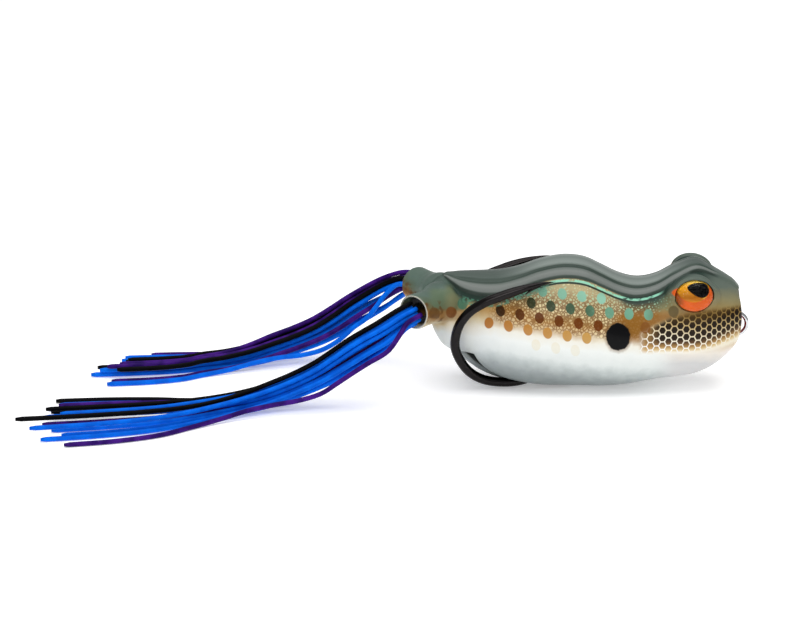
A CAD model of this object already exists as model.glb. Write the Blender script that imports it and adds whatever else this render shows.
"""Looks of a hollow soft-bodied frog popper: painted skin, eyes, double hook, line tie and two skirts of strands.

Sizes are in millimetres in the tables, and every mesh is made in metres in the frame of the CAD model.
"""
import math

import bpy
import numpy as np
from mathutils import Matrix, Vector


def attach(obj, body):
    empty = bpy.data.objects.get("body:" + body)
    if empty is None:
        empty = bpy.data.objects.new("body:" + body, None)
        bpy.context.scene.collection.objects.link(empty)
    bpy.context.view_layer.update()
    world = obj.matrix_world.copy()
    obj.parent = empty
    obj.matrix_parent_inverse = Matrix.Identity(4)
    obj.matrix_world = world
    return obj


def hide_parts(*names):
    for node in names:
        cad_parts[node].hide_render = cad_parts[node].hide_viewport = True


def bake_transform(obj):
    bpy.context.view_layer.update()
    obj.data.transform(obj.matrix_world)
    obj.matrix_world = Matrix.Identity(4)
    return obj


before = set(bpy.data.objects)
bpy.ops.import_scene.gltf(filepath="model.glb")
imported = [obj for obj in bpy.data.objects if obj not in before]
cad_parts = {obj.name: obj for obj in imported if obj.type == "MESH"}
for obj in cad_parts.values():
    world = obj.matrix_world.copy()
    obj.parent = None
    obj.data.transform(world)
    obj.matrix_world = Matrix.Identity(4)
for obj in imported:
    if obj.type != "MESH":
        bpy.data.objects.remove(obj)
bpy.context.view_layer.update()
MM = 0.001
SIDES = (("right", -1), ("left", 1))


# ---------------------------------------------------------------- camera

VIEW = {"azimuth": 1.5, "elevation": 16.0, "distance": 900.0, "width": 148.96, "aim": (-32.0, 0.0, 12.16)}


def make_camera():
    """A long lens, so that the lure is seen nearly flat on."""
    azimuth, elevation = math.radians(VIEW["azimuth"]), math.radians(VIEW["elevation"])
    ahead = Vector((-math.sin(azimuth) * math.cos(elevation), math.cos(azimuth) * math.cos(elevation),
                    -math.sin(elevation)))
    right = Vector((math.cos(azimuth), math.sin(azimuth), 0))
    up = right.cross(ahead)
    data = bpy.data.cameras.new("camera")
    data.sensor_width = 36
    data.lens = data.sensor_width * VIEW["distance"] / VIEW["width"]
    data.clip_start, data.clip_end = 0.01, 20
    camera = bpy.data.objects.new("camera", data)
    place = Vector(VIEW["aim"]) - ahead * VIEW["distance"]
    camera.matrix_world = Matrix.Translation(place * MM) @ Matrix((right, up, -ahead)).transposed().to_4x4()
    bpy.context.collection.objects.link(camera)
    bpy.context.scene.camera = camera


make_camera()


# ---------------------------------------------------------------- numbers as shader nodes

class Num:
    """A shader socket that arithmetic can be written with."""

    def __init__(self, tree, socket):
        self.tree, self.socket = tree, socket

    def math(self, operation, *others):
        node = self.tree.nodes.new("ShaderNodeMath")
        node.operation = operation
        for slot, value in zip(node.inputs, (self, *others)):
            if isinstance(value, Num):
                self.tree.links.new(value.socket, slot)
            else:
                slot.default_value = value
        return Num(self.tree, node.outputs[0])

    def __add__(self, other):
        return self.math("ADD", other)

    def __sub__(self, other):
        return self.math("SUBTRACT", other)

    def __mul__(self, other):
        return self.math("MULTIPLY", other)

    def __truediv__(self, other):
        return self.math("DIVIDE", other)

    def __abs__(self):
        return self.math("ABSOLUTE")

    def round(self):
        return self.math("ROUND")

    def squared(self):
        return self * self

    def low(self, other):
        return self.math("MINIMUM", other)

    def high(self, other):
        return self.math("MAXIMUM", other)

    def step(self, start, end):
        """0 at start and 1 at end, smooth between."""
        node = self.tree.nodes.new("ShaderNodeMapRange")
        node.interpolation_type = "SMOOTHSTEP"
        self.tree.links.new(self.socket, node.inputs["Value"])
        low, high, flip = (start, end, False) if start < end else (end, start, True)
        node.inputs["From Min"].default_value, node.inputs["From Max"].default_value = low, high
        if flip:
            node.inputs["To Min"].default_value, node.inputs["To Max"].default_value = 1, 0
        return Num(self.tree, node.outputs["Result"])

    def band(self, low, high, soft):
        """1 between low and high, fading to 0 over soft on each side."""
        return self.step(low - soft, low) * self.step(high + soft, high)


def linear(rgb):
    """Linear colour of an sRGB colour given as 0 to 255."""
    return tuple((c / 255 / 12.92 if c <= 10 else ((c / 255 + 0.055) / 1.055) ** 2.4) for c in rgb) + (1,)


class Paint:
    """One node material whose base colour is built up in coats."""

    def __init__(self, name, roughness, coat=0.0, coat_roughness=0.05, metallic=0.0):
        self.material = bpy.data.materials.new(name)
        self.material.use_nodes = True
        self.tree = self.material.node_tree
        self.shader = self.tree.nodes["Principled BSDF"]
        self.shader.inputs["Roughness"].default_value = roughness
        self.shader.inputs["Metallic"].default_value = metallic
        self.shader.inputs["Coat Weight"].default_value = coat
        self.shader.inputs["Coat Roughness"].default_value = coat_roughness
        self.colour = None

    def link(self, source, target):
        self.tree.links.new(source, target)

    def position(self):
        """x, y and z of the point in millimetres."""
        coordinates = self.tree.nodes.new("ShaderNodeTexCoord")
        scale = self.tree.nodes.new("ShaderNodeVectorMath")
        scale.operation = "SCALE"
        scale.inputs["Scale"].default_value = 1 / MM
        self.link(coordinates.outputs["Object"], scale.inputs[0])
        self.vector = scale.outputs[0]
        split = self.tree.nodes.new("ShaderNodeSeparateXYZ")
        self.link(self.vector, split.inputs[0])
        return [Num(self.tree, out) for out in split.outputs]

    def attribute(self, name):
        node = self.tree.nodes.new("ShaderNodeAttribute")
        node.attribute_name = name
        return Num(self.tree, node.outputs["Fac"])

    def noise(self, scale, detail=2.0, stretch=None):
        node = self.tree.nodes.new("ShaderNodeTexNoise")
        node.inputs["Scale"].default_value = scale
        node.inputs["Detail"].default_value = detail
        vector = self.vector
        if stretch:
            mapping = self.tree.nodes.new("ShaderNodeMapping")
            mapping.inputs["Scale"].default_value = stretch
            self.link(vector, mapping.inputs["Vector"])
            vector = mapping.outputs["Vector"]
        self.link(vector, node.inputs["Vector"])
        return Num(self.tree, node.outputs["Fac"])

    def cells(self, scale):
        node = self.tree.nodes.new("ShaderNodeTexVoronoi")
        node.feature = "DISTANCE_TO_EDGE"
        node.inputs["Scale"].default_value = scale
        self.link(self.vector, node.inputs["Vector"])
        return Num(self.tree, node.outputs["Distance"])

    def coat(self, colour, mask=None):
        """Lays a colour, or the colour of a ramp, over what is there, where mask is 1."""
        source = colour if hasattr(colour, "is_output") else None
        if self.colour is None and source is None:
            node = self.tree.nodes.new("ShaderNodeRGB")
            node.outputs[0].default_value = linear(colour)
            self.colour = node.outputs[0]
            return
        if self.colour is None:
            self.colour = source
            return
        mix = self.tree.nodes.new("ShaderNodeMix")
        mix.data_type = "RGBA"
        factor, first, second = mix.inputs[0], mix.inputs[6], mix.inputs[7]
        self.link(self.colour, first)
        if source:
            self.link(source, second)
        else:
            second.default_value = linear(colour)
        if isinstance(mask, Num):
            self.link(mask.socket, factor)
        else:
            factor.default_value = 1 if mask is None else mask
        self.colour = mix.outputs[2]

    def ramp(self, value, low, high, stops):
        """Colour output that runs through stops of (value, colour) between low and high."""
        node = self.tree.nodes.new("ShaderNodeValToRGB")
        scaled = (value - low) / (high - low)
        self.link(scaled.socket, node.inputs["Fac"])
        elements = node.color_ramp.elements
        while len(elements) < len(stops):
            elements.new(0.5)
        for element, (at, colour) in zip(elements, stops):
            element.position = (at - low) / (high - low)
            element.color = linear(colour)
        return node.outputs["Color"]

    def bump(self, height, depth):
        node = self.tree.nodes.new("ShaderNodeBump")
        node.inputs["Distance"].default_value = depth * MM
        self.link(height.socket, node.inputs["Height"])
        self.link(node.outputs["Normal"], self.shader.inputs["Normal"])

    def done(self):
        if self.colour is not None:
            self.link(self.colour, self.shader.inputs["Base Color"])
        return self.material


# ---------------------------------------------------------------- mesh helpers

def make_object(name, vertices, faces):
    """Mesh object from points in millimetres."""
    mesh = bpy.data.meshes.new(name)
    mesh.from_pydata([tuple(c * MM for c in v) for v in vertices], [], faces)
    mesh.polygons.foreach_set("use_smooth", [True] * len(mesh.polygons))
    mesh.update()
    obj = bpy.data.objects.new(name, mesh)
    bpy.context.collection.objects.link(obj)
    return obj


def loft(rings, closed_ends=True):
    """Vertices and faces of a skin over rings of equal point count."""
    count = len(rings[0])
    vertices = [p for ring in rings for p in ring]
    faces = [(r * count + i, r * count + (i + 1) % count, (r + 1) * count + (i + 1) % count, (r + 1) * count + i)
             for r in range(len(rings) - 1) for i in range(count)]
    if closed_ends:
        for r, flip in ((0, True), (len(rings) - 1, False)):
            hub = len(vertices)
            vertices.append(tuple(np.mean(rings[r], axis=0)))
            for i in range(count):
                pair = (r * count + i, r * count + (i + 1) % count)
                faces.append((*pair[::-1], hub) if flip else (*pair, hub))
    return vertices, faces


def smooth_curve(points, steps):
    """Evenly spaced points on a centripetal Catmull-Rom curve through points."""
    p = np.array(points, float)
    p = np.vstack([2 * p[0] - p[1], p, 2 * p[-1] - p[-2]])
    knots = np.concatenate([[0], np.cumsum(np.sqrt(np.linalg.norm(np.diff(p, axis=0), axis=1)))])
    dense = []
    for i in range(1, len(p) - 2):
        t0, t1, t2, t3 = knots[i - 1:i + 3]
        for t in np.linspace(t1, t2, 24, endpoint=False):
            a1 = (t1 - t) / (t1 - t0) * p[i - 1] + (t - t0) / (t1 - t0) * p[i]
            a2 = (t2 - t) / (t2 - t1) * p[i] + (t - t1) / (t2 - t1) * p[i + 1]
            a3 = (t3 - t) / (t3 - t2) * p[i + 1] + (t - t2) / (t3 - t2) * p[i + 2]
            b1 = (t2 - t) / (t2 - t0) * a1 + (t - t0) / (t2 - t0) * a2
            b2 = (t3 - t) / (t3 - t1) * a2 + (t - t1) / (t3 - t1) * a3
            dense.append((t2 - t) / (t2 - t1) * b1 + (t - t1) / (t2 - t1) * b2)
    dense = np.array(dense + [p[-2]])
    run = np.concatenate([[0], np.cumsum(np.linalg.norm(np.diff(dense, axis=0), axis=1))])
    even = np.linspace(0, run[-1], steps + 1)
    return np.stack([np.interp(even, run, dense[:, k]) for k in range(3)], axis=1), run[-1]


def tube(points, radius_at, sides=12):
    """Vertices and faces of a round tube whose radius follows radius_at(0 to 1), carried without twist."""
    points = [Vector(p) for p in points]
    last = len(points) - 1
    tangents = [(points[min(i + 1, last)] - points[max(i - 1, 0)]).normalized() for i in range(last + 1)]
    across = tangents[0].orthogonal().normalized()
    rings = []
    for i, (point, tangent) in enumerate(zip(points, tangents)):
        across = (across - tangent * across.dot(tangent)).normalized()
        other = tangent.cross(across)
        radius = radius_at(i / last)
        rings.append([tuple(point + (across * math.cos(a) + other * math.sin(a)) * radius)
                      for a in (2 * math.pi * k / sides for k in range(sides))])
    return loft(rings)


def joined(name, shapes):
    """One object from several (vertices, faces)."""
    vertices, faces = [], []
    for more_vertices, more_faces in shapes:
        start = len(vertices)
        vertices += [tuple(v) for v in more_vertices]
        faces += [tuple(i + start for i in f) for f in more_faces]
    return make_object(name, vertices, faces)


def apply_modifiers(obj):
    """Bakes the object's modifiers into its mesh."""
    evaluated = obj.evaluated_get(bpy.context.evaluated_depsgraph_get())
    mesh = bpy.data.meshes.new_from_object(evaluated)
    old = obj.data
    obj.modifiers.clear()
    obj.data = mesh
    bpy.data.meshes.remove(old)


def voxel_joined(obj, voxel, smoothing):
    """Fuses overlapping closed shapes into one skin and softens where they meet."""
    remesh = obj.modifiers.new("fuse", "REMESH")
    remesh.mode, remesh.voxel_size, remesh.use_smooth_shade = "VOXEL", voxel * MM, True
    soften = obj.modifiers.new("soften", "SMOOTH")
    soften.factor, soften.iterations = 0.5, smoothing
    apply_modifiers(obj)


def carve(obj, cutter):
    """Cuts cutter out of obj and deletes it."""
    cut = obj.modifiers.new("carve", "BOOLEAN")
    cut.operation, cut.solver, cut.object = "DIFFERENCE", "MANIFOLD", cutter
    apply_modifiers(obj)
    bpy.data.objects.remove(cutter)


# ---------------------------------------------------------------- strands

STRAND = {"radius": 0.46, "steps": 16, "pitch": 1.08, "row": 0.98, "layers": (0.5, 1.5, 2.5)}
# fractions of a strand's length over which it loosens, lies down, parts from the rest and takes its own length
LOOSEN, SETTLE, FAN, TRIM = (0.3, 0.6), (0.6, 0.8), (0.62, 1.0), (0.78, 1.0)
SAG = {"drop": 0.8, "spread": 0.2, "rise": (0.08, 0.3), "fall": (0.35, 0.6)}  # lower rows hang below the rest
STRAY = {"out": 2.2, "down": 2.8, "rise": (0.1, 0.3), "fall": (0.45, 0.75)}  # the two outermost stand clear
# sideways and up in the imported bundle, layer a strand lies in, sideways in that layer
SLOTS = [(-0.5, -2, 0, -1.5), (0.5, -2, 0, 1.5), (-1.5, -1, 0, -2.5), (-0.5, -1, 0, -0.5), (0.5, -1, 0, 0.5),
         (1.5, -1, 0, 2.5), (-2, 0, 0, -3.5), (-1, 0, 1, -1), (0, 0, 1, 0), (1, 0, 1, 1), (2, 0, 0, 3.5),
         (-1, 1, 2, -1.5), (0, 1, 2, -0.5), (1, 1, 2, 1.5), (0, 2, 2, 0.5)]
TIPS = {
    "right": [(-95.6, -20.2), (-92, -36.2), (-94, -17.6), (-96.1, -29.8), (-94.1, -33.3), (-95.5, -38.9),
              (-95, -15.2), (-93.9, -21.2), (-94.9, -25.4), (-95.9, -28.5), (-91, -42), (-95.7, -26.9),
              (-92.8, -29.7), (-97.5, -38.6), (-100.6, -33.2)],
    "left": [(-90, 1.9), (-85, 11.3), (-85.8, -2.3), (-88, 3.9), (-85.6, 7.8), (-84.5, 13.3), (-86.5, -4.1),
             (-88.3, 1.5), (-88.9, 3.3), (-83.9, 7.4), (-79.7, 15.3), (-84.8, -1.4), (-86.8, 0.6), (-83.3, 5.1),
             (-84.6, 2.4)],
}
SPINES = {
    "right": [(-29.5, -10.3, 16.5), (-31.8, -13, 15.9), (-35.3, -15.1, 14), (-40.4, -15.9, 11), (-46.4, -16.4, 7),
              (-55, -17.6, 3.4), (-65, -20.6, 2.5), (-76, -24.6, 2.4), (-95, -28.6, 2.4)],
    "left": [(-29.5, 10.3, 16.5), (-31.8, 13, 15.8), (-35.8, 15, 13.8), (-41.4, 15.2, 10.5), (-48, 14, 6.4),
             (-56, 12, 3.6), (-65, 9.6, 2.6), (-76, 7, 2.4), (-95, 4.5, 2.4)],
}
STRAND_COLOURS = {"b": "blue", "p": "purple", "k": "black"}
DYED = {"right": "bbbpbbkpkbpkbbk", "left": "bbpbbbbbkkpkpkp"}  # one letter per slot


def smoothstep(value, low, high):
    t = min(1.0, max(0.0, (value - low) / (high - low)))
    return t * t * (3 - 2 * t)


def spine_at(points, reach):
    """Point and direction on the bundle's line, at the same fraction of its control points as in the CAD model."""
    p = [Vector(q) for q in points]
    p = [2 * p[0] - p[1]] + p + [2 * p[-1] - p[-2]]
    spans = len(points) - 1

    def point(t):
        at = min(max(t, 0.0), 1.0) * spans
        i = min(int(at), spans - 1)
        w = at - i
        a, b, c, d = p[i:i + 4]
        gaps = [max((v - u).length ** 0.5, 1e-6) for u, v in ((a, b), (b, c), (c, d))]
        m1 = ((b - a) / gaps[0] - (c - a) / (gaps[0] + gaps[1]) + (c - b) / gaps[1]) * gaps[1]
        m2 = ((c - b) / gaps[1] - (d - b) / (gaps[1] + gaps[2]) + (d - c) / gaps[2]) * gaps[1]
        return ((2 * w**3 - 3 * w**2 + 1) * b + (w**3 - 2 * w**2 + w) * m1
                + (-2 * w**3 + 3 * w**2) * c + (w**3 - w**2) * m2)

    ahead, behind = point(reach + 0.0001), point(reach - 0.0001)
    return point(reach), (ahead - behind).normalized()


def swell(reach, span):
    """0, rising to 1 and falling back to 0."""
    return smoothstep(reach, *span["rise"]) * (1 - smoothstep(reach, *span["fall"]))


def strand_route(side, sign, slot):
    """Control points of one strand, the same as the CAD model's."""
    packed, up, layer, lying = SLOTS[slot]
    tip_x, tip_y = TIPS[side][slot]
    last_x, last_y = SPINES[side][-1][:2]
    route = []
    for k in range(STRAND["steps"] + 1):
        reach = k / STRAND["steps"]
        point, along = spine_at(SPINES[side], reach)
        beside = Vector((along.y, -along.x, 0)).normalized() * sign
        above = beside.cross(along) * sign * up * STRAND["row"]
        fan, loose, settled = (smoothstep(reach, *span) for span in (FAN, LOOSEN, SETTLE))
        sag, stray = swell(reach, SAG), swell(reach, STRAY) if abs(packed) == 2 else 0
        across = (packed + (lying - packed) * loose) * STRAND["pitch"] * (1 - fan) * (1 + SAG["spread"] * sag)
        point = point + above + beside * (across + math.copysign(STRAY["out"], packed) * stray)
        point.z += min(up, 0) * SAG["drop"] * sag - STRAY["down"] * stray
        route.append((point.x + (tip_x - last_x) * smoothstep(reach, *TRIM), point.y + (tip_y - last_y) * fan,
                      point.z + (STRAND["layers"][layer] - point.z) * settled))
    return route


DYES = {
    "blue": ((0, 88, 202), (0, 104, 224)), "purple": ((36, 10, 84), (66, 24, 122)), "black": ((1, 1, 3), (5, 5, 8)),
}


def strand_material(name, dark, light):
    """Dyed silicone rubber with a slightly uneven depth of colour."""
    paint = Paint(f"strand_{name}", 0.5)
    paint.shader.inputs["Specular IOR Level"].default_value = 0.05
    paint.position()
    paint.coat(dark)
    paint.coat(light, paint.noise(0.35, 3).step(0.35, 0.65))
    paint.bump(paint.noise(2.5, 2), 0.03)
    return paint.done()


def strand_radius(t):
    """Round for its whole length, with a cut end that is slightly drawn in."""
    return STRAND["radius"] * (1 - 0.3 * smoothstep(t, 0.99, 1.0))


def make_strands():
    materials = {name: strand_material(name, *pair) for name, pair in DYES.items()}
    for side, sign in SIDES:
        for slot in range(len(SLOTS)):
            colour = STRAND_COLOURS[DYED[side][slot]]
            points, length = smooth_curve(strand_route(side, sign, slot), 72)
            node = f"{side}_strand_{slot + 1:02d}"
            piece = joined(f"{node}_cord", [tube(points, strand_radius, 10)])
            piece.data.materials.append(materials[colour])
            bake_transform(piece)
            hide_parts(node)


make_strands()


# ---------------------------------------------------------------- skin shape

# stations along the body: x, top, bottom, half width, half width of the back strap
STATIONS = np.array([
    (-26.8, 18.2, 13.4, 2.0, 0.8), (-26.0, 19.8, 10.8, 4.0, 1.4), (-24.6, 21.0, 8.0, 5.2, 2.2),
    (-22.0, 21.5, 5.9, 5.7, 3.4), (-19.0, 21.6, 3.7, 7.1, 5.0), (-16.2, 21.6, 2.1, 8.7, 6.1),
    (-13.4, 21.7, 1.1, 9.8, 6.5), (-9.7, 22.5, 0.4, 10.9, 6.5), (-6.0, 23.8, -0.1, 11.4, 6.5),
    (-1.3, 24.6, -0.2, 11.8, 6.5), (2.5, 24.1, -0.2, 11.8, 6.5), (5.2, 22.8, -0.2, 11.7, 6.4),
    (8.4, 21.2, 0, 11.4, 6.2), (11.8, 20.4, 0.5, 11.0, 6.0), (15.5, 21.1, 1.2, 10.7, 5.6),
    (19.2, 23.1, 1.6, 10.5, 5.0), (22.9, 24.2, 2.3, 10.2, 3.8), (26.1, 22.6, 3.8, 9.3, 2.4),
    (28.6, 21.2, 5.8, 8.2, 1.6), (30.3, 19.9, 7.8, 7.2, 1.2), (31.2, 18.6, 9.4, 6.3, 0.9),
    (31.7, 17.2, 10.8, 5.2, 0.6)])
SQUARENESS = 0.9
WALL = 1.4
STRAP_RISE = 0.6
LEG = {"rim": (-29.3, 10.0, 16.5), "splay": 55.0, "bore": 2.75}
EYE = {"at": (22.35, 8.9, 20.4), "yaw": 8.0, "tilt": 14.0, "radius": 3.6, "depth": 1.2, "sink": 0.85, "squash": 0.84}
LENS = {"rim": 0.62, "dome": 1.75, "wall": 0.12}  # height of the rim, of the dome above it, and thickness on top
FOIL = {"radius": 3.5, "edge": 0.4, "dome": 1.75}  # height of the edge, and of the dome above it
BROWS = [((22.1, 6.1, 18.9), (5.2, 3.6, 3.3)), ((22.1, 6.4, 19.6), (4.1, 3.1, 3.6))]  # centre, radii
CUP = {"centre": (33.2, 0.0, 13.4), "radii": (5.9, 5.9, 6.3)}
SLIT = {"half": 1.35, "top": 7.5, "route": [(-20.6, 5.2), (-17.5, 4.5), (-14, 4.1), (-9.8, 3.1), (-6.8, 2), (-4, 1.1),
                                            (-0.8, 0.8)]}
# outside of a leg tube: radius, and distance back from the rim
LEG_OUTLINE = [(0, 0), (3.0, 0), (3.22, 0.12), (3.3, 0.4), (3.22, 2.5), (3.25, 4.6), (3.5, 6.2), (3.9, 7.6), (4.0, 9.0),
               (3.0, 9.5), (0, 9.5)]
VOXEL = 0.22  # grid on which the shapes of the skin are fused
STRAP_END = (-23.9, -20.5)  # the strap's rear end is round between these two x
LINK_Z = 12.0


def station_at(x):
    """Top, bottom, half width and strap half width at x, on cubic curves through the stations."""
    x = np.clip(np.asarray(x, float), STATIONS[0, 0], STATIONS[-1, 0])
    xs = STATIONS[:, 0]
    i = np.clip(np.searchsorted(xs, x, side="right") - 1, 0, len(xs) - 2)
    span = xs[i + 1] - xs[i]
    t = ((x - xs[i]) / span)[..., None]
    slopes = np.gradient(STATIONS[:, 1:], xs, axis=0)
    a, b = STATIONS[i, 1:], STATIONS[i + 1, 1:]
    ma, mb = slopes[i] * span[..., None], slopes[i + 1] * span[..., None]
    values = ((2 * t**3 - 3 * t**2 + 1) * a + (t**3 - 2 * t**2 + t) * ma
              + (-2 * t**3 + 3 * t**2) * b + (t**3 - t**2) * mb)
    end, full = STRAP_END
    values[..., 3] *= np.sqrt(np.clip(1 - (np.clip(full - x, 0, None) / (full - end)) ** 2, 0.0004, None))
    return values


# height above the strap, place across it and width of each ridge, and of the groove, which is negative
RIDGES = ((0.16, 0.76, 0.13), (-0.42, 0.5, 0.10), (0.10, 0.36, 0.05), (0.10, 0.97, 0.04))


def strap_height(u, x):
    """Height of the moulded strap above the skin, u being 0 on its middle and 1 at its edge."""
    shoulder = 1 - smoothstep(abs(u), 0.98, 1.06)
    ridges = sum(height * math.exp(-((abs(u) - place) / width) ** 2) for height, place, width in RIDGES)
    fade = smoothstep(x, -23.4, -20) * (1 - smoothstep(x, 24, 27.5))
    return (STRAP_RISE + ridges * fade) * shoulder


def skin_ring(x, inset, strap_points=96, side_points=150):
    top, bottom, half, strap = station_at(x)
    middle, tall, wide = (top + bottom) / 2, (top - bottom) / 2 - inset, half - inset
    edge = math.asin(min(0.95, strap / half))
    over = 1.08 * edge
    angles = list(np.linspace(-over, over, strap_points)) + list(
        np.linspace(over, 2 * math.pi - over, side_points + 1)[1:-1])
    ring = []
    for a in angles:
        sine, cosine = math.sin(a), math.cos(a)
        folded = a if a <= math.pi else a - 2 * math.pi
        rise = strap_height(folded / edge, x) - STRAP_RISE if not inset else 0
        y = wide * math.copysign(abs(sine) ** SQUARENESS, sine)
        z = middle + tall * math.copysign(abs(cosine) ** SQUARENESS, cosine)
        out = Vector((0, sine / half, cosine / tall)).normalized()
        ring.append((x, y + out.y * rise, z + out.z * rise if inset else max(0.0, z + out.z * rise)))
    return ring[::-1]


def body_loft(inset, start, end, steps, **rings):
    return loft([skin_ring(x, inset, **rings) for x in np.linspace(start, end, steps)])


def sphere(centre, radii, across=64, down=40):
    rings = []
    for k in range(1, down):
        latitude = math.pi * k / down
        rings.append([(centre[0] + radii[0] * math.sin(latitude) * math.cos(a),
                       centre[1] + radii[1] * math.sin(latitude) * math.sin(a),
                       centre[2] - radii[2] * math.cos(latitude))
                      for a in (2 * math.pi * i / across for i in range(across))])
    return loft(rings)


def lathe(profile, origin, axis, sides=64):
    """Solid of revolution: profile of (radius, distance along axis), starting and ending near the axis."""
    axis = Vector(axis).normalized()
    across = axis.orthogonal().normalized()
    other = axis.cross(across)
    rings = [[tuple(Vector(origin) + axis * h + (across * math.cos(a) + other * math.sin(a)) * max(r, 0.001))
              for a in (2 * math.pi * i / sides for i in range(sides))] for r, h in profile]
    return loft(rings)


def leg_axis(sign):
    splay = math.radians(LEG["splay"])
    return Vector((-math.cos(splay), sign * math.sin(splay), 0))


def leg_rim(sign):
    x, y, z = LEG["rim"]
    return Vector((x, sign * y, z))


def eye_axes(sign):
    """Origin of an eye, and its forward, upward and outward directions."""
    yaw, tilt = math.radians(EYE["yaw"]), math.radians(EYE["tilt"])
    out = Vector((math.sin(yaw) * math.cos(tilt), sign * math.cos(yaw) * math.cos(tilt), math.sin(tilt)))
    up = (Vector((0, 0, 1)) - out * out.z).normalized()
    forward = up.cross(out) * -sign
    x, y, z = EYE["at"]
    return Vector((x, sign * y, z)), forward, up, out


def squashed(shape, sign):
    """The same shape, flattened towards the eye's lower edge."""
    vertices, faces = shape
    centre, _, up, _ = eye_axes(sign)
    drop = lambda v: up * ((EYE["squash"] - 1) * ((v - centre).dot(up) + EYE["radius"]))
    return [tuple(Vector(v) + drop(Vector(v))) for v in vertices], faces


# curve of the lid: how far it reaches along, up, down and out from the eye, and the arc it follows in degrees
LID = {"along": 3.8, "up": 3.35, "drop": 0.98, "bulge": 0.3, "inset": 0.2, "start": -12, "sweep": 204, "radius": 0.5}


def eyelid(sign):
    """Moulded lid that hangs over the top of the eye and runs down its two sides."""
    centre, forward, up, out = eye_axes(sign)
    points = []
    for k in range(41):
        a = math.radians(LID["start"] + LID["sweep"] * k / 40)
        points.append(centre + forward * math.cos(a) * LID["along"] + up * (LID["up"] * math.sin(a) - LID["drop"])
                      + out * (LID["bulge"] * math.sin(a) - LID["inset"]))
    return tube(points, lambda t: LID["radius"] * math.sin(math.pi * min(1, max(0, t))) ** 0.4 + 0.05, 14)


def eye_socket(sign):
    """Room for the foil and the lens, a little larger than they are."""
    centre, _, _, out = eye_axes(sign)
    wide, low, tall = EYE["radius"] + 0.1, LENS["rim"] - EYE["sink"] + 0.1, LENS["dome"] + 0.06
    dome = [(wide * math.cos(a), low + tall * math.sin(a)) for a in np.linspace(0, math.pi / 2, 20)]
    return squashed(lathe([(0, -EYE["depth"]), (wide, -EYE["depth"])] + dome, centre, out, 72), sign)


def slit_cutter(sign):
    route = [Vector((x, sign * y, 0)) for x, y in SLIT["route"]]
    left, right = [], []
    for i, p in enumerate(route):
        ahead = (route[min(i + 1, len(route) - 1)] - route[max(i - 1, 0)]).normalized()
        normal = Vector((-ahead.y, ahead.x, 0)) * SLIT["half"]
        left.append(p + normal)
        right.append(p - normal)
    outline = left + right[::-1]
    rings = [[(p.x, p.y, z) for p in outline] for z in (-1, SLIT["top"])]
    count = len(outline)
    vertices = [p for ring in rings for p in ring]
    faces = [(i, (i + 1) % count, count + (i + 1) % count, count + i) for i in range(count)]
    faces += [tuple(range(count))[::-1], tuple(range(count, 2 * count))]
    flip = sum(a[0] * b[1] - b[0] * a[1] for a, b in zip(rings[0], rings[0][1:] + rings[0][:1])) < 0
    return vertices, [f[::-1] for f in faces] if flip else faces


def make_skin():
    """One soft shell: body, leg tubes and brows fused, then the cavity, mouth, bores, seats and slits cut out."""
    shapes = [body_loft(0, STATIONS[0, 0], STATIONS[-1, 0], 300)]
    for side, sign in SIDES:
        shapes += [sphere((x, sign * y, z), radii) for (x, y, z), radii in BROWS]
        shapes.append(lathe(LEG_OUTLINE, leg_rim(sign), -leg_axis(sign)))
        shapes.append(eyelid(sign))
    skin = joined("skin", shapes)
    voxel_joined(skin, VOXEL, 3)
    carve(skin, joined("cavity", [body_loft(WALL, -23.2, 25.6, 60, strap_points=12, side_points=40)]))
    for side, sign in SIDES:
        out = leg_axis(sign)
        flare = LEG["bore"] + 0.25
        bore = [(0, -1), (flare, -1), (flare, 0.05), (LEG["bore"], 0.3), (LEG["bore"], 10.5), (0, 10.5)]
        carve(skin, joined("bore", [lathe(bore, leg_rim(sign), -out)]))
        carve(skin, joined("socket", [eye_socket(sign)]))
        carve(skin, joined("slit", [slit_cutter(sign)]))
    carve(skin, joined("cup", [sphere(CUP["centre"], CUP["radii"], 96, 60)]))
    oval = [(0.95 * math.cos(a), 1.55 * math.sin(a)) for a in np.linspace(0, 2 * math.pi, 32, endpoint=False)]
    carve(skin, joined("nose_slot", [loft([[(x, y, LINK_Z + z) for y, z in oval] for x in (24, 29)])]))
    return skin


def mark_strap(skin):
    """Stores how far each point lies from the strap's middle and past its edge, for the paint."""
    mesh = skin.data
    co = np.empty(len(mesh.vertices) * 3)
    mesh.vertices.foreach_get("co", co)
    x, y, z = (co.reshape(-1, 3) / MM).T
    top, bottom, half, strap = station_at(x).T
    middle, tall = (top + bottom) / 2, (top - bottom) / 2
    sine = np.abs(y / half) ** (1 / SQUARENESS)
    cosine = np.sign(z - middle) * np.abs((z - middle) / tall) ** (1 / SQUARENESS)
    angle = np.arctan2(sine, cosine)
    edge = np.arcsin(np.minimum(0.95, strap / half))
    for name, values in (("strap_u", angle / edge), ("strap_past", (angle - edge) * (half + tall) / 2)):
        mesh.attributes.new(name, "FLOAT", "POINT").data.foreach_set("value", values.astype(np.float32))


# ---------------------------------------------------------------- skin paint

SCALE = {"pitch": 1.39, "squeeze": 1.10, "centre": (16.57, 10.09), "rise": 0.055}  # scales of the cheek net
DOT = {"row": 2.52, "column": 3.6, "lean": 1.52, "start": -2.5, "half": (0.86, 1.06)}


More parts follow.
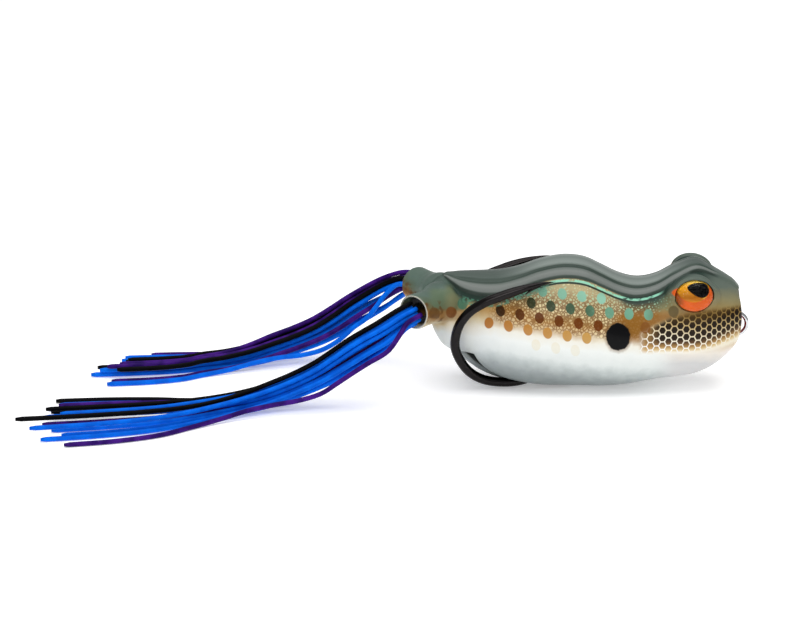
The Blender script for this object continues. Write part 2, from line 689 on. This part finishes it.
def hexagon_edge(x, q):
    """0 on the middle of a scale and 1 at its edge, for a net of upright hexagons that closes up towards the nose."""
    pitch = SCALE["pitch"]
    along = (x + (x - 23).high(0).squared() * 0.03 - SCALE["centre"][0]) * SCALE["squeeze"]
    rise = q - (x - SCALE["centre"][0]) * SCALE["rise"] - SCALE["centre"][1]
    column = pitch * math.sqrt(3)
    results = []
    for shift in (0.0, 0.5):
        fx, fq = along / column + shift, rise / pitch + shift
        dx, dq = abs(fx - fx.round()) * column, abs(fq - fq.round()) * pitch
        results.append(dq.high(dx * math.sqrt(0.75) + dq * 0.5))
    return results[0].low(results[1]) / (pitch / 2)


def ellipse(x, y, centre, radii):
    """Squared distance from a centre, 1 on the ellipse of the given radii."""
    return ((x - centre[0]) / radii[0]).squared() + ((y - centre[1]) / radii[1]).squared()


def paint_flank(paint, x, r, wander):
    """White belly, tan flank with a net of brown flecks, green shoulder."""
    soft_r = r + wander * 1.6
    paint.coat(paint.ramp(soft_r, -12, 8, [
        (-12, (120, 128, 128)), (-10.1, (146, 153, 153)), (-8.6, (180, 187, 186)), (-7.2, (210, 215, 213)),
        (-5.0, (224, 227, 224)), (-3.6, (224, 221, 210)), (-1.9, (216, 200, 164)), (-0.2, (194, 158, 102)),
        (2.2, (174, 148, 100)), (3.5, (108, 112, 80)), (4.8, (56, 78, 64)), (7.0, (44, 60, 52))]))
    saddle = x.band(-7, 8, 3) * soft_r.band(0.4, 7.5, 1.2)
    paint.coat((186, 170, 128), saddle * 0.85)
    fleck = paint.cells(1.75)
    flank = soft_r.band(-1.8, 4.4, 0.9).high(saddle) * x.band(-13, 14, 3)
    paint.coat((92, 50, 12), fleck.step(0.17, 0.08) * flank * soft_r.step(7, 3) * 0.7)
    paint.coat((222, 206, 160), fleck.step(0.20, 0.34) * flank * 0.8)
    paint.coat((110, 172, 146), fleck.step(0.20, 0.32) * soft_r.band(3.2, 6.2, 0.6) * x.band(-9, 19, 2) * 0.6)
    paint.coat((150, 98, 28), x.band(-13, 2, 5) * soft_r.band(-2.4, 0.6, 1.2) * 0.35)
    paint.coat((142, 92, 26), x.band(9, 15, 2.5) * soft_r.band(-2.5, 1.8, 1.2) * 0.7)


def paint_spots(paint, x, q, r, wander):
    """Spots in rows that lean forward, with five more by the leg and on the cheek."""
    row = (r / DOT["row"]).round()
    across = (x - DOT["start"] + row * DOT["lean"]) / DOT["column"]
    dx = (across - across.round()) * DOT["column"] / DOT["half"][0]
    dr = (r - row * DOT["row"]) / DOT["half"][1]
    spot = (dx.squared() + dr.squared() + wander * 0.35).step(1.12, 0.82)
    rows = {2: (-7.4, 7.0), 1: (-9.2, 16.0), 0: (-14.8, 6.4), -1: (-17.4, 4.6), -2: (-8.4, 2.4)}
    tones = {2: [(-8, (98, 146, 124)), (8, (140, 192, 168))], -1: [(-16, (166, 104, 38)), (5, (186, 144, 74))],
             -2: [(-9, (216, 200, 158)), (3, (216, 206, 174))],
             1: [(-9, (40, 42, 20)), (-3, (42, 62, 42)), (2.6, (62, 96, 74)), (6, (96, 144, 120)),
                 (13, (104, 160, 136)), (17, (84, 70, 34))],
             0: [(-14, (36, 22, 8)), (-9, (84, 40, 2)), (1, (98, 46, 2)), (9, (98, 46, 4))]}
    for number, (start, end) in rows.items():
        here = spot * row.band(number - 0.4, number + 0.4, 0.05) * x.band(start, end, 0.15)
        paint.coat(paint.ramp(x, -20, 20, tones[number]), here * (0.35 if number == -2 else 0.95))
    extra = (((-20.3, 14.8), (62, 110, 88)), ((-22.4, 13.2), (120, 66, 20)), ((-25.4, 13.0), (96, 66, 34)),
             ((13.4, 10.6), (118, 72, 26)), ((18.6, 13.6), (84, 72, 40)))
    for centre, tone in extra:
        paint.coat(tone, (ellipse(x, q, centre, (1.0, 1.1)) + wander * 0.8).step(1.2, 0.7) * 0.85)


def paint_head(paint, x, q, wander):
    """Olive snout, the net of scales on the cheek, the black blot, and orange behind the eye."""
    paint.coat(paint.ramp(q + wander * 1.2, 4, 22, [
        (4, (196, 196, 196)), (6, (222, 216, 206)), (8, (206, 184, 146)), (10, (160, 122, 66)), (12.6, (134, 98, 46)),
        (14.6, (138, 122, 80)), (16, (128, 122, 90)), (18.2, (92, 102, 92)), (21, (84, 96, 89))]), x.step(14.5, 20))
    paint.coat((128, 86, 30), x.band(10.5, 17, 2.6) * q.band(9.8, 12.6, 1.7) * 0.8)
    height = q - ((x - 20).high(0).squared() * 0.02 + 5.9)
    top = ((x - 15.5) * 0.5 + 11.2).low((x - 17.7) * 0.17 + 12.4)
    inside = height.step(-0.4, 0.8) * x.step(12.0, 13.6) * (q - top).step(0.6, -0.6)
    paint.coat(paint.ramp(height + (x - 18) * 0.12, 0, 9, [(0.5, (234, 234, 230)), (3.0, (226, 216, 190)),
                                                           (5.2, (190, 165, 115)), (7.0, (130, 104, 56))]), inside)
    cell = hexagon_edge(x, q).step(0.92, 0.78)
    paint.coat(paint.ramp(height - (x - 24).high(0) * 0.1, 0, 9, [
        (0.1, (228, 220, 198)), (0.6, (208, 184, 136)), (1.25, (156, 120, 70)), (1.9, (88, 64, 40)),
        (2.6, (36, 27, 18)), (5.0, (30, 22, 14)), (7.0, (74, 54, 24))]), inside * cell)
    paint.coat((178, 138, 84), inside * cell * x.step(16.5, 12.5) * 0.7)
    blot = ellipse(x, q, (8.4, 8.9), (2.2, 2.55)) + (paint.noise(1.2, 3) - 0.5) * 0.5
    paint.coat((112, 76, 34), blot.step(1.7, 1.0) * 0.5)
    paint.coat((8, 8, 10), blot.step(1.1, 0.9))
    around = ellipse(x, q, (20.2, 17.05), (2.0, 0.95)).step(1.15, 0.8)
    paint.coat((206, 88, 30), around)


def paint_strap(paint, x):
    """Grey-green strap over the back, with dark grooves, and the mint edge beside it."""
    u, past = abs(paint.attribute("strap_u")), paint.attribute("strap_past")
    length, middle = x.step(-23.4, -21.5), x.band(-4.5, 7.5, 2.5)
    paint.coat((42, 58, 51), past.step(2.8, 1.1) * length * x.step(27, 23) * (middle * -0.85 + 1))
    paint.coat((40, 52, 44), past.band(0.95, 1.3, 0.2) * x.band(-6, 17, 2))
    patches = paint.noise(1.5, 3, (0.5, 1, 1)).step(0.36, 0.50)
    paint.coat((142, 206, 178), past.band(0.4, 0.8, 0.12) * x.band(-3.6, 15.5, 1.5) * (patches * 0.85 + 0.1))
    streaks = paint.noise(1.7, 2).step(0.42, 0.58)
    paint.coat((84, 136, 112), past.band(1.2, 2.3, 0.3) * x.band(-19, -6, 3) * streaks * 0.8)
    strap = past.step(0.3, 0.1) * x.step(27.4, 25.6) * x.step(-24.2, -23.9)
    light = paint.ramp(u, 0, 1.1, [
        (0.0, (108, 118, 113)), (0.16, (124, 133, 128)), (0.34, (130, 139, 134)), (0.40, (106, 115, 110)),
        (0.43, (56, 68, 61)), (0.56, (60, 72, 66)), (0.62, (98, 106, 101)), (0.80, (116, 121, 117)),
        (0.93, (104, 110, 106)), (0.98, (62, 72, 66)), (1.06, (50, 60, 54))])
    paint.coat(light, strap)
    dark = x.step(-4, -15).high(x.step(15, 23)) * paint.attribute("strap_past").step(0.1, -0.1)
    paint.coat((64, 76, 70), dark * u.step(0.75, 0.5) * 0.85 * strap)
    paint.coat((66, 78, 71), dark * u.band(0.42, 0.62, 0.04) * strap)


def paint_tail(paint, x, y, q, wander):
    """Grey-green tail and leg tubes, mottled brown below and pale under."""
    paint.coat(paint.ramp(q + wander * 2.4, 8, 21, [
        (9.5, (200, 204, 200)), (11.0, (184, 168, 134)), (12.4, (146, 100, 44)), (13.8, (108, 80, 40)),
        (14.8, (86, 96, 74)), (16.2, (86, 104, 94)), (19.5, (78, 92, 85))]), x.step(-22.2, -24.2))
    root = x.band(-25.5, -20.5, 1.5)
    paint.coat((140, 104, 56), root * q.band(12.0, 13.6, 0.8) * 0.6)
    paint.coat((92, 108, 84), root * q.band(14.0, 17.0, 0.9) * 0.8)
    mottle = paint.noise(0.9, 3).step(0.52, 0.66) * q.band(11.8, 14.6, 1.0) * x.step(-22.5, -24.5)
    paint.coat((88, 56, 24), mottle * 0.8)
    rim_edge = None
    for _, sign in SIDES:
        out, rim = leg_axis(sign), leg_rim(sign)
        past_rim = ((x - rim.x) * out.x + (y - rim.y) * out.y).step(-0.22, -0.08) * (y * sign).step(6, 7)
        rim_edge = past_rim if rim_edge is None else rim_edge.high(past_rim)
    paint.coat((186, 184, 172), rim_edge)


def skin_material():
    """Sprayed paint on soft plastic, the same on both sides."""
    paint = Paint("painted_skin", 0.3, coat=0.04, coat_roughness=0.08)
    paint.shader.inputs["Specular IOR Level"].default_value = 0.08
    x, y, z = paint.position()
    q = z * math.cos(math.radians(16)) - abs(y) * math.sin(math.radians(16))
    wander = paint.noise(0.5, 3) - 0.5
    ahead = x.high(-14.5)
    r = q - (ahead * ahead * 0.0035 - ahead * 0.115 + 11.4)
    paint_flank(paint, x, r, wander)
    paint_tail(paint, x, y, q, wander)
    paint_head(paint, x, q, wander)
    paint_spots(paint, x, q, r, wander)
    paint_strap(paint, x)
    cx, cy, cz = CUP["centre"]
    rx, ry, rz = (radius + 0.05 for radius in CUP["radii"])
    mouth = (((x - cx) / rx).squared() + ((y - cy) / ry).squared() + ((z - cz) / rz).squared()).step(1.005, 0.995)
    paint.coat((70, 66, 50), mouth)
    paint.coat((150, 6, 12), mouth * z.step(16.5, 14.5))
    paint.coat((233, 221, 221), x.step(27, 30) * q.step(7.8, 5.2) * z.step(10, 8))
    paint.bump(paint.noise(3.0, 3) * 0.6 + wander * 0.4, 0.025)
    return paint.done()


def dress_skin():
    skin = make_skin()
    mark_strap(skin)
    skin.data.polygons.foreach_set("use_smooth", [True] * len(skin.data.polygons))
    skin.data.materials.clear()
    skin.data.materials.append(skin_material())
    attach(skin, "body")
    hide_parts("body_shell")


dress_skin()


# ---------------------------------------------------------------- eyes

def eye_material():
    """Gold foil, a black pupil drawn to a point at the rear, and an orange lower rim, laid out on the eye's face."""
    paint = Paint("eye_face", 0.35)
    paint.shader.inputs["Specular IOR Level"].default_value = 0.1
    paint.position()
    f, u = paint.attribute("eye_forward"), paint.attribute("eye_up") + 0.45
    grain = paint.noise(4.0, 4)
    paint.coat((226, 98, 34))
    paint.coat((176, 66, 22), grain.step(0.5, 0.72) * 0.6)
    paint.coat((120, 62, 18), f.step(-1.6, -3.0) * u.band(-1.4, 1.2, 0.8) * 0.8)
    iris = (ellipse(f, u, (-0.3, 1.15), (2.95, 2.5)) + (grain - 0.5) * 0.12).step(1.06, 0.94)
    paint.coat(paint.ramp(u, -1.6, 3.4, [
        (-1.3, (214, 132, 30)), (-0.5, (178, 104, 20)), (0.6, (205, 135, 22)), (1.7, (240, 168, 34)),
        (2.4, (255, 216, 92)), (3.1, (150, 100, 36))]), iris)
    paint.coat((246, 190, 78), iris * f.band(1.6, 2.6, 0.5) * u.band(-0.6, 0.2, 0.4))
    paint.coat((128, 74, 14), iris * grain.step(0.52, 0.7) * 0.55)
    a = (f - 0.55) * 0.97 - (u - 0.95) * 0.24
    b = (f - 0.55) * 0.24 + (u - 0.95) * 0.97
    pinch = (a * 0.16 + 1.0).high(0.4)
    paint.coat((6, 6, 8), ((a / 2.1).squared() + (b / pinch / 1.3).squared()).step(1.05, 0.93))
    return paint.done()


def lens_material():
    """Clear cast resin, thin enough that it hardly bends the view of the foil."""
    paint = Paint("eye_resin", 0.03)
    paint.shader.inputs["Transmission Weight"].default_value = 1.0
    paint.shader.inputs["IOR"].default_value = 1.12
    paint.position()
    paint.coat((255, 255, 255))
    paint.coat((253, 250, 240), paint.noise(0.6).step(0.4, 0.6) * 0.3)
    return paint.done()


def make_eyes():
    face, resin = eye_material(), lens_material()
    for side, sign in SIDES:
        centre, forward, up, out = eye_axes(sign)
        base = centre - out * EYE["sink"]
        dome = [(0, 0), (FOIL["radius"] - 0.05, 0), (FOIL["radius"], FOIL["edge"])] + [
            (FOIL["radius"] * math.cos(a), FOIL["edge"] + FOIL["dome"] * math.sin(a))
            for a in np.linspace(0.05, math.pi / 2, 24)]
        ball = joined(f"{side}_eye_face", [squashed(lathe(dome, base, out, 72), sign)])
        co = np.array([v.co[:] for v in ball.data.vertices]) / MM - np.array(centre)
        for name, axis in (("eye_forward", forward), ("eye_up", up)):
            values = (co @ np.array(axis)).astype(np.float32)
            ball.data.attributes.new(name, "FLOAT", "POINT").data.foreach_set("value", values)
        ball.data.materials.append(face)
        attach(ball, "body")
        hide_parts(f"{side}_eye_foil")
        arc = list(np.linspace(0.0, math.pi / 2, 24))
        shell = [(EYE["radius"] * math.cos(a), LENS["rim"] + LENS["dome"] * math.sin(a)) for a in arc]
        shell += [((EYE["radius"] - 0.03) * math.cos(a),
                   LENS["rim"] + (LENS["dome"] - LENS["wall"]) * math.sin(a)) for a in arc[::-1]]
        glass = joined(f"{side}_eye_dome", [squashed(lathe(shell + shell[:1], base, out, 72), sign)])
        glass.data.materials.append(resin)
        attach(glass, "body")
        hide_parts(f"{side}_eye_lens")


make_eyes()


# ---------------------------------------------------------------- hardware

LINK = (22.6, 0.0, 12.0)
TIE = {"wire": 0.43, "ring": 2.05, "ring_x": 30.4, "loop": 1.65}
HOOK = {"wire": 0.9, "eye": 2.2, "taper_from": 0.875}
SHANK = [(18.6, 0.33, 12), (16.4, 0.57, 11.2), (13.2, 0.82, 8.3), (10.6, 0.82, 6), (7, 0.82, 5.2), (3, 0.82, 5),
         (-1, 0.82, 4.9)]
ARM = [(-1, 0.82, 4.9), (-4, 1.1, 4), (-6.8, 2, 2.3), (-9.7, 3.1, 1.5), (-12.8, 3.8, 1.4), (-16.3, 4.3, 2),
       (-18.9, 5.3, 3.7), (-20.7, 6.6, 6.4), (-21.6, 7.6, 9.1), (-21.5, 8.2, 11.5), (-20.7, 8.7, 14),
       (-18.9, 9.1, 16.4), (-16.3, 9.4, 18.2), (-12.8, 9.5, 19.7), (-8.8, 9.5, 21.1), (-5.3, 9.3, 22.0),
       (-3.1, 9.2, 22.3)]


def ring_tube(centre, radius, wire, plane, sides=14, steps=64):
    """Closed ring of wire in the plane of the two axes."""
    first, second = Vector(plane[0]), Vector(plane[1])
    normal = first.cross(second)
    rings = []
    for k in range(steps):
        a = 2 * math.pi * k / steps
        out = first * math.cos(a) + second * math.sin(a)
        rings.append([tuple(Vector(centre) + out * (radius + wire * math.cos(b)) + normal * wire * math.sin(b))
                      for b in (2 * math.pi * i / sides for i in range(sides))])
    vertices, faces = loft(rings, closed_ends=False)
    count = len(rings[0])
    last = (steps - 1) * count
    faces += [(last + i, last + (i + 1) % count, (i + 1) % count, i) for i in range(count)]
    return vertices, faces


def metal(name, colour, roughness, scratch):
    paint = Paint(name, roughness, metallic=1.0)
    paint.position()
    paint.coat(colour)
    paint.coat(tuple(int(c * 0.7) for c in colour), paint.noise(1.2, 2).step(0.45, 0.7) * 0.25)
    paint.bump(paint.noise(2, 2), scratch)
    return paint.done()


# where along the wire the barb starts and ends, its sideways lean, its heights off the wire and its radius
BARB = {"root": -7, "lip": -13, "lean": 0.25, "rise": (0.15, 0.55, 1.15), "radius": 0.34}
# the two wires twisted between ring and loop: overlap at each end, radius of wire and twist, and its turn in radians
TWIST = {"overlap": 0.2, "radius": 0.3, "turn": 9}


def hook_radius(t):
    """Radius of the hook's wire, which draws in to a point at its end."""
    start = HOOK["taper_from"]
    return HOOK["wire"] * (1 if t < start else max(0.02, 1 - ((t - start) / (1 - start)) ** 1.5))


def make_hook():
    shapes = [ring_tube((LINK[0] - HOOK["eye"], 0, LINK[2]), HOOK["eye"], HOOK["wire"], ((1, 0, 0), (0, 1, 0)))]
    for _, sign in SIDES:
        arm, _ = smooth_curve([(x, sign * y, z) for x, y, z in SHANK + ARM[1:]], 150)
        shapes.append(tube(arm, hook_radius, 16))
        # barb: a short blade raised from the inside of the point
        root, lip = Vector(arm[BARB["root"]]), Vector(arm[BARB["lip"]])
        down = Vector((0, sign * BARB["lean"], -1)).normalized()
        near, middle, far = BARB["rise"]
        barb = [root + down * near, root * 0.5 + lip * 0.5 + down * middle, lip + down * far]
        shapes.append(tube([tuple(p) for p in barb], lambda t: BARB["radius"] * (1 - t) ** 0.8 + 0.04, 10))
    hook = joined("double_hook_wire", shapes)
    hook.data.materials.append(metal("black_nickel", (38, 36, 36), 0.2, 0.002))
    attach(hook, "hook")
    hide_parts("double_hook")


def make_line_tie():
    upright = ((1, 0, 0), (0, 0, 1))
    ring_back = TIE["ring_x"] - TIE["ring"]
    loop_front = LINK[0] + TIE["loop"]
    twist = []
    for phase in (0, math.pi):
        points = [(loop_front - TWIST["overlap"] + (ring_back - loop_front + 2 * TWIST["overlap"]) * t,
                   TWIST["radius"] * math.cos(phase + TWIST["turn"] * t),
                   LINK[2] + TWIST["radius"] * math.sin(phase + TWIST["turn"] * t)) for t in np.linspace(0, 1, 40)]
        twist.append(tube(points, lambda t: TWIST["radius"], 10))
    tie = joined("line_tie_wire", [ring_tube((TIE["ring_x"], 0, LINK[2]), TIE["ring"], TIE["wire"], upright),
                                   ring_tube((LINK[0], 0, LINK[2]), TIE["loop"], TIE["wire"], upright), *twist])
    tie.data.materials.append(metal("bright_wire", (206, 208, 210), 0.16, 0.006))
    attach(tie, "line_tie")
    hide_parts("line_tie")


make_hook()
make_line_tie()


def dress_hidden():
    """Finishes of the CAD pieces that stay: the weight on the shanks and the collars in the leg tubes."""
    cast = Paint("cast_weight", 0.6, metallic=0.8)
    cast.position()
    cast.coat((108, 110, 114))
    cast.coat((72, 74, 78), cast.noise(1.5, 4).step(0.4, 0.7))
    cast.bump(cast.noise(2.2, 4), 0.08)
    rubber = Paint("collar_rubber", 0.7)
    rubber.position()
    rubber.coat((26, 26, 29))
    rubber.coat((44, 44, 48), rubber.noise(2.0, 3).step(0.45, 0.7))
    rubber.bump(rubber.noise(4, 3), 0.03)
    finishes = {"belly_weight": cast.done(), "right_skirt_collar": rubber.done()}
    finishes["left_skirt_collar"] = finishes["right_skirt_collar"]
    for node, material in finishes.items():
        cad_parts[node].data.materials.clear()
        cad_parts[node].data.materials.append(material)


dress_hidden()


# ---------------------------------------------------------------- studio

def area_light(name, place, size, power, aim=(-20, 0, 10)):
    data = bpy.data.lights.new(name, "AREA")
    data.shape, data.size, data.energy = "SQUARE", size * MM, power
    lamp = bpy.data.objects.new(name, data)
    lamp.location = Vector(place) * MM
    lamp.rotation_euler = (Vector(aim) - Vector(place)).to_track_quat("-Z", "Y").to_euler()
    bpy.context.collection.objects.link(lamp)


def make_studio():
    span = 3000
    corners = [(-span, -span, 0), (span, -span, 0), (span, span, 0), (-span, span, 0)]
    floor = make_object("floor", corners, [(0, 1, 2, 3)])
    paint = Paint("floor_paper", 0.9)
    paint.position()
    paint.coat((252, 252, 252))
    paint.coat((250, 250, 250), paint.noise(0.01, 2) * 0.3)
    paint.shader.inputs["Specular IOR Level"].default_value = 0.1
    paint.shader.inputs["Emission Color"].default_value = (1, 1, 1, 1)
    paint.shader.inputs["Emission Strength"].default_value = 0.3
    floor.data.materials.append(paint.done())
    world = bpy.data.worlds.new("studio")
    world.use_nodes = True
    world.node_tree.nodes["Background"].inputs["Color"].default_value = (1, 1, 1, 1)
    world.node_tree.nodes["Background"].inputs["Strength"].default_value = 0.38
    bpy.context.scene.world = world
    area_light("top", (-10, -60, 520), 620, 2.7)
    area_light("front", (-120, -520, 260), 260, 0.8)
    bpy.context.scene.view_settings.view_transform = "Standard"


make_studio()
